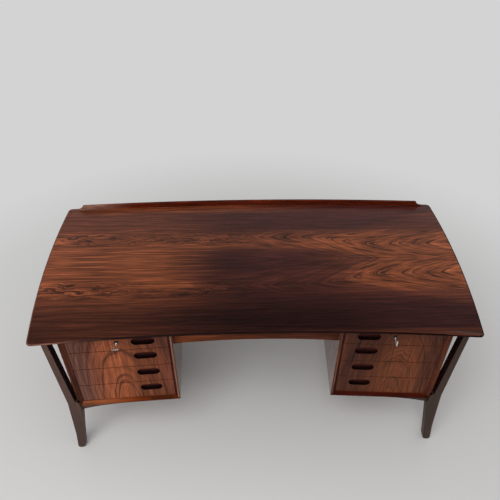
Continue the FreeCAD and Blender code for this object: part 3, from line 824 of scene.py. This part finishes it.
def eased(node, width, materials, paint=None, steps=BEVEL_STEPS):
    """Copy of a CAD node with rounded outer edges, which stands for it and rides where it rides."""
    source = frame["nodes"][node]
    shape = bmesh.new()
    shape.from_mesh(source.data)
    bmesh.ops.remove_doubles(shape, verts=shape.verts, dist=WELD)
    bmesh.ops.dissolve_limit(shape, angle_limit=FLAT_ANGLE, verts=shape.verts, edges=shape.edges)
    arrises = []
    for edge in shape.edges:
        if edge.is_manifold and edge.is_convex and edge.calc_face_angle() > SHARP_ANGLE:
            arrises.append(edge)
    bmesh.ops.bevel(shape, geom=arrises, offset=width, offset_type="OFFSET", segments=steps,
                    profile=ROUND_PROFILE, affect="EDGES", clamp_overlap=True)
    for face in shape.faces:
        face.smooth = True
        face.material_index = 0
    if paint:
        paint(shape)
    mesh = bpy.data.meshes.new(node + "_eased")
    shape.to_mesh(mesh)
    shape.free()
    for material in materials:
        mesh.materials.append(material)
    piece = bpy.data.objects.new(node + "_eased", mesh)
    bpy.context.scene.collection.objects.link(piece)
    normals = piece.modifiers.new("normals", "WEIGHTED_NORMAL")
    normals.keep_sharp = True
    normals.weight = NORMAL_WEIGHT
    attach(piece, source["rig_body"])
    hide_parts(node)


# Woods of the pieces. Fades are places along the grain from the middle of the piece, the arris's across the
# case from its middle.
# The lipping, gallery and apron fades are painted light: paler towards the left.
LIPPING_FADE = (-0.85, -0.5)
GALLERY_FADE = (-0.88, -0.58)
APRON_FADE = (-0.4, 0.3)
LONG_LIPPING_SEED = 4.0
END_LIPPING_SEED = 6.0
GALLERY_SEED = 8.0
APRON_SEED = 14.0
EDGE_SPECULAR = 0.06
SIDE_SMOOTH = 0.2
KNEEHOLE_SPECULAR = 0.35
KNEEHOLE_SMOOTH = 0.1
LEVEL_FADE = (-0.2, 0.05)
ARRIS_FADE = (0.204, 0.2085)
LEG_LOOK = dict(veins=0.05, ink=0.05, streak=0.08, smooth=0.4, fade=(-0.2, 0.2))
LEG_SIDE_SPECULAR = 0.05

# Seeds of a pedestal's woods, added to its own
SIDE_SEED = 3
KNEEHOLE_SEED = 4
LEVEL_SEED = 5
BEVEL_SEED = 6
INSIDE_SEED = 7
LEG_SEED = 8
LEG_SIDE_SEED = 9

# The two pedestals: colours of the case's level edges from left to right, of the legs from below upwards,
# and of the arris beside the kneehole. They differ as painted light: the left's edges glow, its legs are
# painted lighter, most of all higher up, and its arris takes a painted sheen; the right's are in painted
# shade.
Pedestal = namedtuple("Pedestal", "seed level legs arris")
PEDESTALS = {
    "left": Pedestal(31.0, (PAINTED_GLOW, PAINTED_GLOW_DEEP), (GREY_BROWN, TAUPE), PAINTED_SHEEN_TAN),
    "right": Pedestal(47.0, (DEEP_RED, DEEP_RED), (DARK_BROWN, DARK_BROWN), TAN)}


def outward(side):
    """Direction in which a pedestal's drawers open."""
    axes = {joint["name"]: joint["axis"] for joint in frame["joints"]}
    return Vector(axes[f"{side}_drawer_1_slide"]).normalized()


def dress_top():
    # The lipping's woods paint the top's edges: painted shade, a dark line along the arris and down the
    # edge faces, with a pale painted sheen at the left end of the long strips.
    long_lipping_shade_sheen = straight_wood("long_lipping_shade_sheen", "top_panel", RIGHT, BACK, PAINTED_SHEEN, INK_AND_SHADE, LONG_LIPPING_SEED,
                                 specular=MATT, fade=LIPPING_FADE)
    end_lipping_shade = straight_wood("end_lipping_shade", "top_panel", BACK, RIGHT, INK_AND_SHADE, INK_AND_SHADE, END_LIPPING_SEED,
                                specular=MATT)
    # The gallery fades from a painted highlight at its left end into its own russet.
    gallery = straight_wood("gallery_wood", "back_gallery", RIGHT, UP, PAINTED_HIGHLIGHT, RUSSET, GALLERY_SEED,
                            specular=MATT, fade=GALLERY_FADE)
    # Painted light: the apron and modesty panel are orange on the left, fading to brown on the right.
    kneehole = straight_wood("kneehole_veneer", "front_apron", RIGHT, UP, ORANGE, BROWN, APRON_SEED,
                             specular=MATT, fade=APRON_FADE)
    veneer = TopVeneer().material()
    eased("top_panel", SLAB_EASE, [veneer])
    eased("top_edge_lipping", LIPPING_EASE, [veneer, long_lipping_shade_sheen, end_lipping_shade], edge_strips)
    eased("back_gallery", GALLERY_EASE, [gallery])
    eased("front_apron", BOARD_EASE, [kneehole])
    eased("modesty_panel", BOARD_EASE, [kneehole])


def dress_case(side, out, edge):
    across = UP.cross(out)
    case = f"{side}_bottom"
    look = PEDESTALS[side]
    upright = straight_wood(f"{side}_side_veneer", case, UP, out, ORANGE, AMBER, look.seed + SIDE_SEED,
                            smooth=SIDE_SMOOTH)
    # The kneehole sides are paled by a painted sheen, on top of their real reflection.
    kneehole = straight_wood(f"{side}_kneehole_veneer", case, UP, out, PAINTED_SHEEN_TAN, PAINTED_SHEEN_TAN,
                             look.seed + KNEEHOLE_SEED, specular=KNEEHOLE_SPECULAR, smooth=KNEEHOLE_SMOOTH)
    # Painted shade: the inner side's bevels are dark red, turning to the arris colour at the outer arris.
    bevel = straight_wood(f"{side}_bevel_shade", case, UP, across, DEEP_RED, look.arris,
                          look.seed + BEVEL_SEED, specular=MATT, edge_fade=ARRIS_FADE)
    # The level edges are painted light on the left pedestal and painted shade on the right.
    level = straight_wood(f"{side}_level_veneer", case, across, out, *look.level, look.seed + LEVEL_SEED,
                          specular=MATT, fade=LEVEL_FADE)
    inside = straight_wood(f"{side}_inside_veneer", case, across, out, ORANGE, AMBER,
                           look.seed + INSIDE_SEED)
    eased(f"{side}_outer_side", PANEL_EASE, [upright, edge, edge], square_to(across, out))
    eased(f"{side}_inner_side", PANEL_EASE, [kneehole, edge, bevel], square_to(across, out))
    for name in ("bottom", "subtop", "niche_shelf"):
        eased(f"{side}_{name}", PANEL_EASE, [inside, level], square_to(UP))
    eased(f"{side}_partition", PARTITION_EASE, [upright])


def dress_legs(side, out):
    leg = f"{side}_front_leg"
    look = PEDESTALS[side]
    wood = straight_wood(f"{side}_leg_wood", leg, UP, UP.cross(out), *look.legs, look.seed + LEG_SEED,
                         **LEG_LOOK)
    # Painted shade: black on the faces that look into the narrow slot beside the case.
    dark = straight_wood(f"{side}_leg_slot_shade", leg, UP, out, INK_AND_SHADE, INK_AND_SHADE, look.seed + LEG_SIDE_SEED,
                         specular=LEG_SIDE_SPECULAR)
    for name in ("front_leg", "rear_leg"):
        eased(f"{side}_{name}", PANEL_EASE, [wood, dark], slot_side(side))
    eased(f"{side}_leg_rails", PANEL_EASE, [wood])


def dress_drawers(side, out, edge, pale, pull):
    front = front_veneer(side, out)
    eased(f"{side}_drawer_runners", BATTEN_EASE, [pale])
    for number in DRAWERS:
        drawer = f"{side}_drawer_{number}"
        eased(f"{drawer}_front", FRONT_EASE, [front, edge], square_to(out))
        eased(f"{drawer}_pull", FRONT_EASE, [pull])
        eased(f"{drawer}_box", PANEL_EASE, [pale])


def dress_lock(side, out, nickel, dark_metal, brass):
    eased(f"{side}_lock_case", METAL_EASE, [brass])
    eased(f"{side}_lock_bolt", METAL_EASE, [nickel])
    eased(f"{side}_lock_plug", PLUG_EASE, [dark_metal])
    eased(f"{side}_lock_key", KEY_EASE, [nickel, dark_metal], shank_shade(side, out), KEY_STEPS)


def dress_desk():
    pale = pale_wood()
    pull = pull_wood()
    nickel = metal("nickel", NICKEL, NICKEL_ROUGHNESS)
    dark_metal = metal("dark_metal", DARK_METAL, DARK_METAL_ROUGHNESS)
    brass = metal("brass", BRASS, BRASS_ROUGHNESS)
    dress_top()
    for side in SIDES:
        out = outward(side)
        edge = straight_wood(f"{side}_edge_wood", f"{side}_bottom", UP, UP.cross(out), REDDISH, BROWN,
                             PEDESTALS[side].seed, specular=EDGE_SPECULAR)
        dress_case(side, out, edge)
        dress_legs(side, out)
        dress_drawers(side, out, edge, pale, pull)
        dress_lock(side, out, nickel, dark_metal, brass)
    eased("shelf_cleats", BATTEN_EASE, [pale])


def seen_rays(g):
    """One for rays that show the background itself: straight from the camera, mirrored or through glass."""
    rays = g.add("LightPath").outputs
    return g.greatest(rays["Is Camera Ray"], rays["Is Glossy Ray"], rays["Is Transmission Ray"])


def floor():
    """Pale floor that takes the desk's shadow and runs into the background far from it."""
    g = new_material("floor")
    place = g.add("TexCoord").outputs["Object"]
    away = g.math("SQRT", g.vector("DOT_PRODUCT", place, place))
    share = g.product(g.remap(away, *FLOOR_FADES), seen_rays(g))
    near = g.filled(g.add("BsdfDiffuse"), FLOOR_COLOUR)
    far = g.filled(g.add("Emission"), BACKDROP)
    both = g.filled(g.add("MixShader"), share, near.outputs[0], far.outputs[0])
    g.filled(g.add("OutputMaterial"), both.outputs[0])
    mesh = bpy.data.meshes.new("floor")
    corners = [(-FLOOR_REACH, -FLOOR_REACH, 0), (FLOOR_REACH, -FLOOR_REACH, 0),
               (FLOOR_REACH, FLOOR_REACH, 0), (-FLOOR_REACH, FLOOR_REACH, 0)]
    mesh.from_pydata(corners, [], [(0, 1, 2, 3)])
    mesh.materials.append(g.owner)
    plane = bpy.data.objects.new("floor", mesh)
    bpy.context.scene.collection.objects.link(plane)


def sky():
    """Even light from all round, seen as the pale background, which is darker overhead."""
    g = Graph(bpy.data.worlds.new("sky"))
    height = g.vector("DOT_PRODUCT", g.add("TexCoord").outputs["Generated"], UP)
    seen = g.mix(g.remap(height, *SKY_DARKENS), BACKDROP, OVERHEAD)
    shown = g.filled(g.add("Background"), g.mix(seen_rays(g), AMBIENT, seen))
    g.filled(g.add("OutputWorld"), shown.outputs[0])
    bpy.context.scene.world = g.owner


def lamp(name, place, target, size, power):
    data = bpy.data.lights.new(name, "AREA")
    data.shape = "SQUARE"
    data.size = size
    data.energy = power
    item = bpy.data.objects.new(name, data)
    item.location = place
    item.rotation_euler = (Vector(target) - Vector(place)).to_track_quat("-Z", "Y").to_euler()
    bpy.context.scene.collection.objects.link(item)


def camera():
    data = bpy.data.cameras.new("camera")
    data.sensor_width = SENSOR_MM
    data.lens = FOCAL_PIXELS * SENSOR_MM / IMAGE_PIXELS
    item = bpy.data.objects.new("camera", data)
    turn = Matrix.Rotation(-CAMERA_YAW, 4, "Z") @ Matrix.Rotation(math.pi / 2 - CAMERA_PITCH, 4, "X")
    item.matrix_world = Matrix.Translation(CAMERA_PLACE) @ turn @ Matrix.Rotation(CAMERA_ROLL, 4, "Z")
    bpy.context.scene.collection.objects.link(item)
    bpy.context.scene.camera = item


dress_desk()
floor()
sky()
for settings in LAMPS:
    lamp(**settings)
camera()
bpy.context.scene.view_settings.view_transform = "Standard"
bpy.context.view_layer.update()
